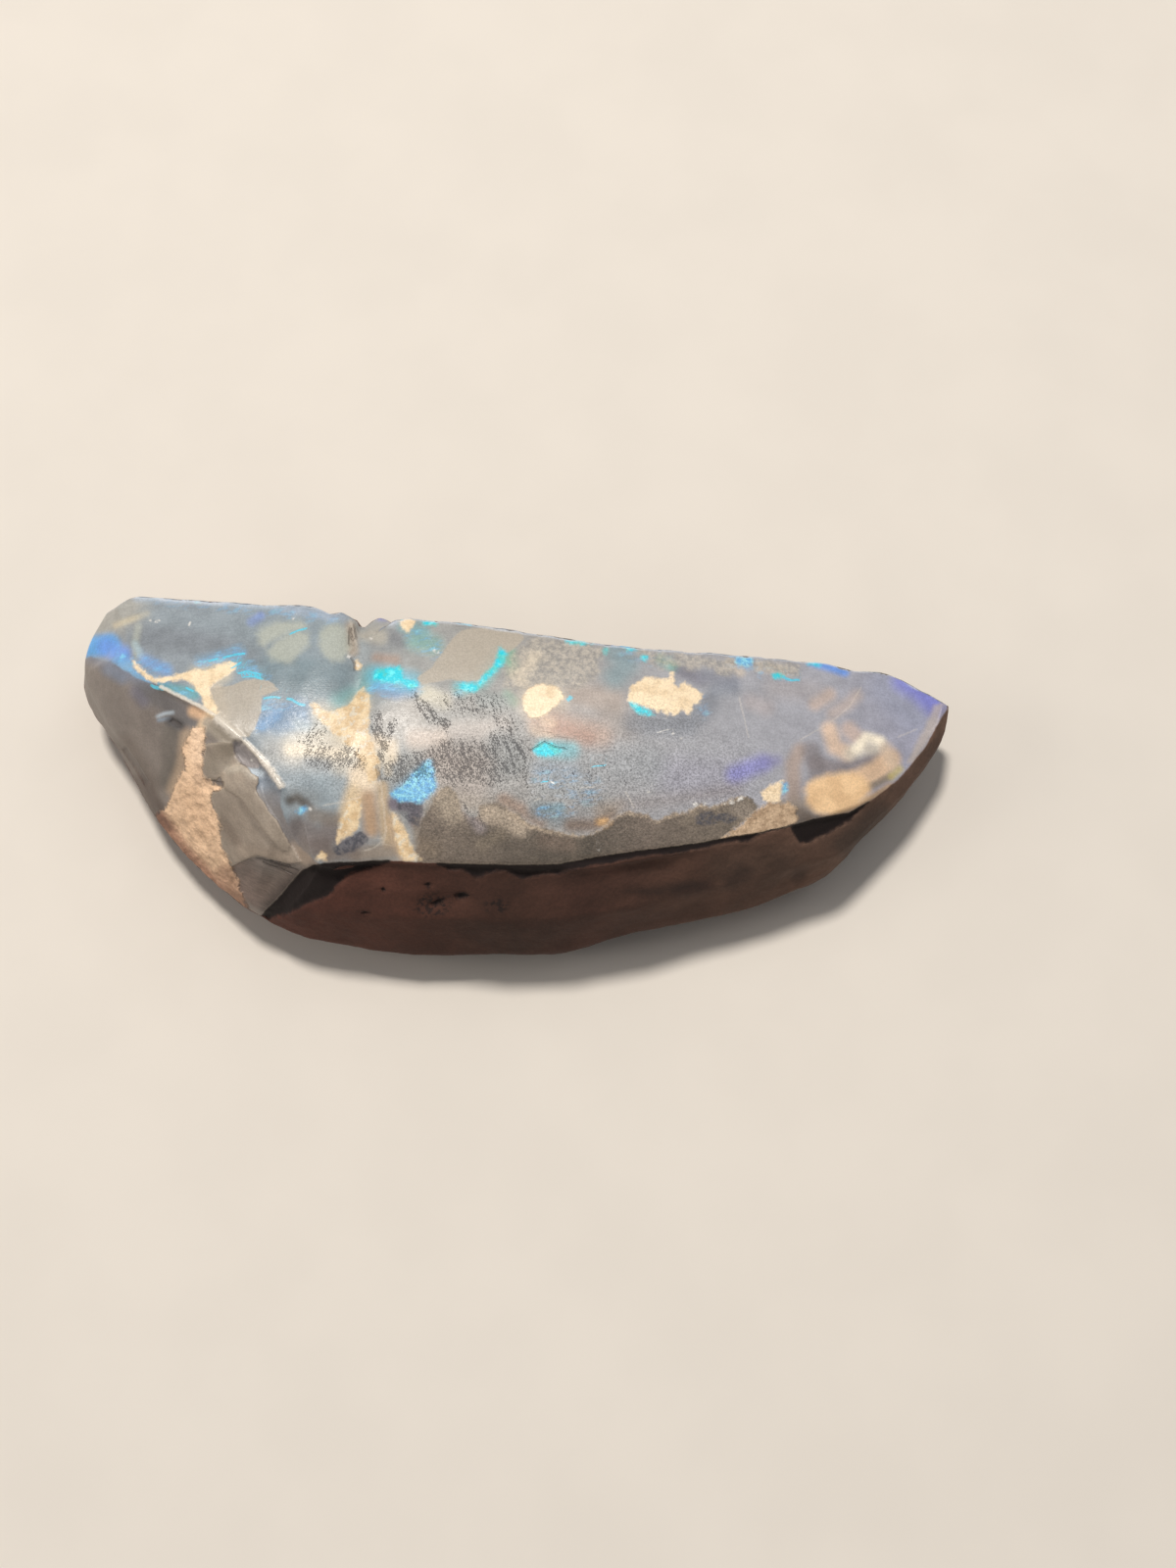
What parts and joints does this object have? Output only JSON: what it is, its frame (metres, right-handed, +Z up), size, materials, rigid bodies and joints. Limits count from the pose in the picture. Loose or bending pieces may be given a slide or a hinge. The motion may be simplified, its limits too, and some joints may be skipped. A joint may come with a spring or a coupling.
{
  "type": "opal",
  "caption": "Rough opal, ground on its faces: a long stone, blunt at one end and pointed at the other, with blue flashes, cream patches and pinkish-brown host rock.",
  "frame": {"origin": "middle of the stone's bounding box in plan, on the flat base that it rests on", "axes": "+X along the stone from its blunt end to its pointed tip, +Y from the sloping long wall towards the upright back wall, +Z up"},
  "size_m": [0.0366, 0.0148, 0.008],
  "materials": {
    "opal": "ground opal and host rock, semi-matt with a soft sheen"
  },
  "bodies": {
    "root": {"opal": "opal"}
  },
  "joints": []
}
